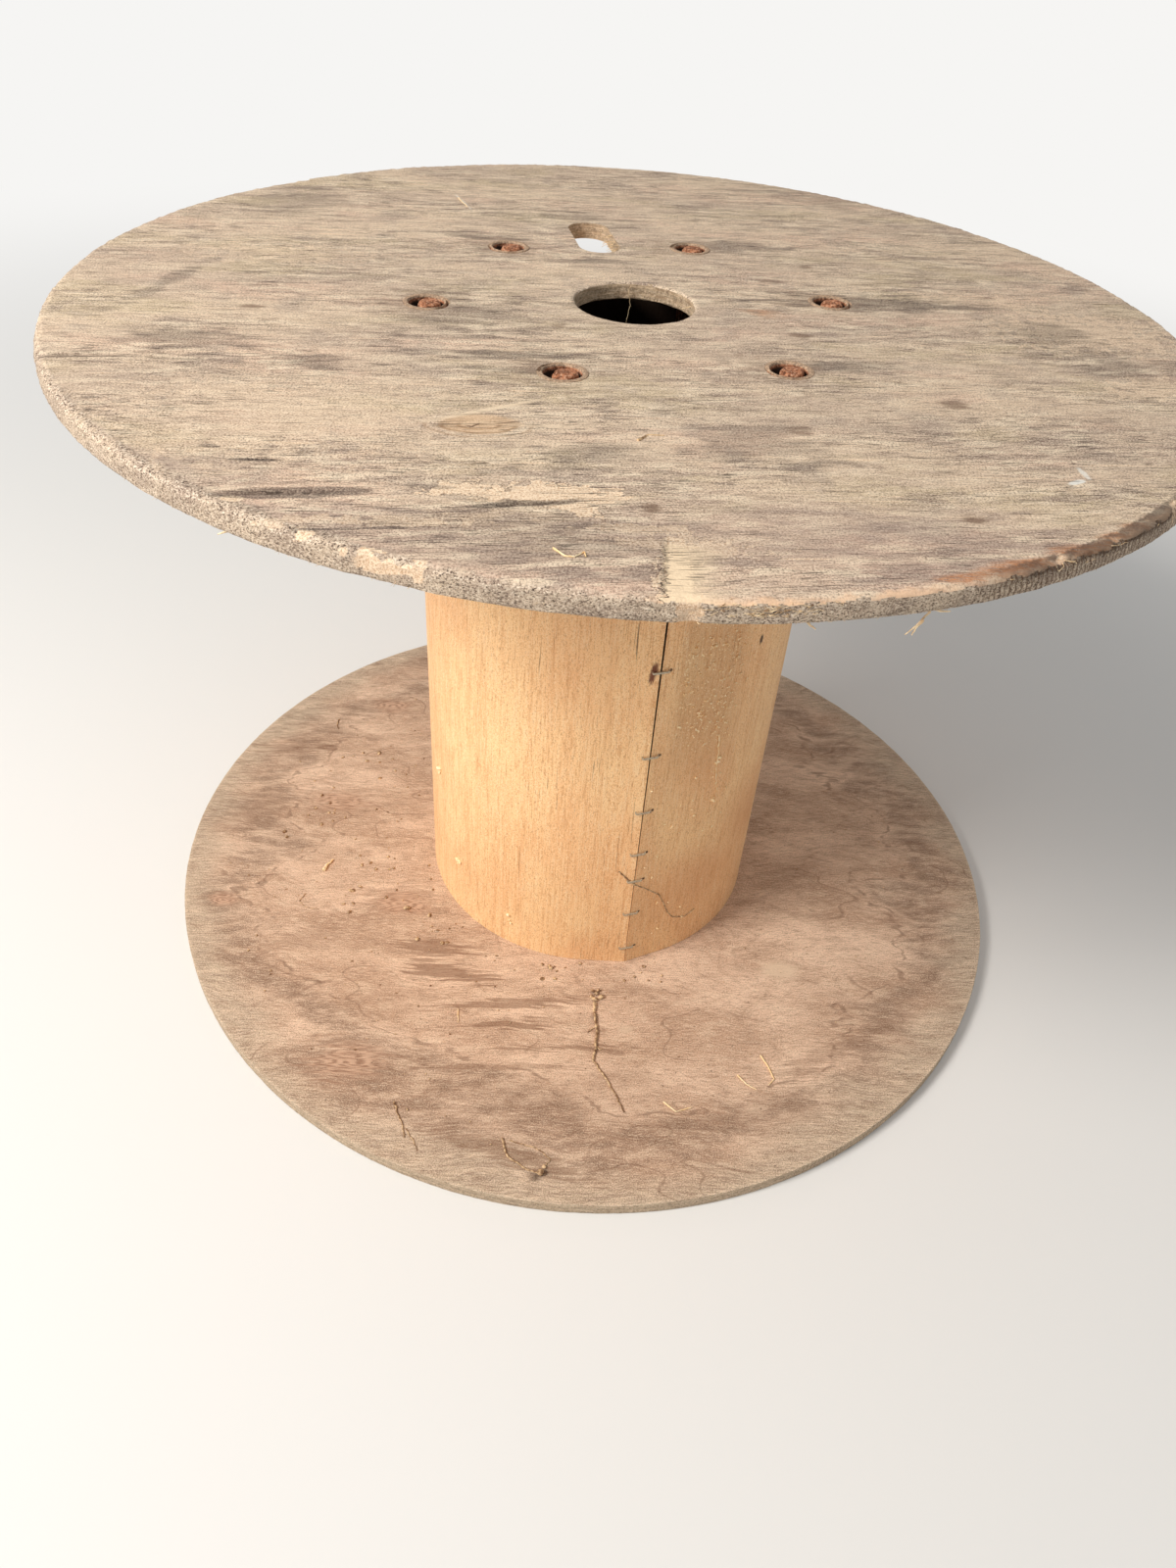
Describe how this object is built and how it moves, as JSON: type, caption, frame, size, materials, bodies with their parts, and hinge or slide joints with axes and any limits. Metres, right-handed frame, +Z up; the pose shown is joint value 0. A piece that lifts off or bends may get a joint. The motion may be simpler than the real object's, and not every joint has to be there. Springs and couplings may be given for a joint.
{
  "type": "cable drum",
  "caption": "Plywood cable drum: round flanges held on a thin wrapped barrel by tie rods with dished washers; carries wound cable and turns on a spindle.",
  "frame": {"origin": "centre of the bottom flange's underside, where the drum's axis meets the floor", "axes": "+Z up along the drum's axis; -Y towards the barrel's seam side, so the seam faces the front, a little to the right"},
  "size_m": [0.7599, 0.76, 0.527],
  "materials": {
    "weathered_plywood": "weathered, rough",
    "plywood": "bare, water stained",
    "barrel_veneer": "bare, smooth",
    "softwood": "sawn",
    "staple_wire": "dull, spotted with rust",
    "dull_steel": "dull, rust at the ends",
    "rusted_steel": "rusted, rough"
  },
  "bodies": {
    "root": {"top_flange": "weathered_plywood", "bottom_flange": "plywood", "barrel": "barrel_veneer", "seam_batten": "softwood", "seam_staples": "staple_wire", "tie_rods": "dull_steel", "top_washers": "rusted_steel", "bottom_washers": "rusted_steel", "top_nuts": "rusted_steel", "bottom_nuts": "rusted_steel"}
  },
  "joints": []
}
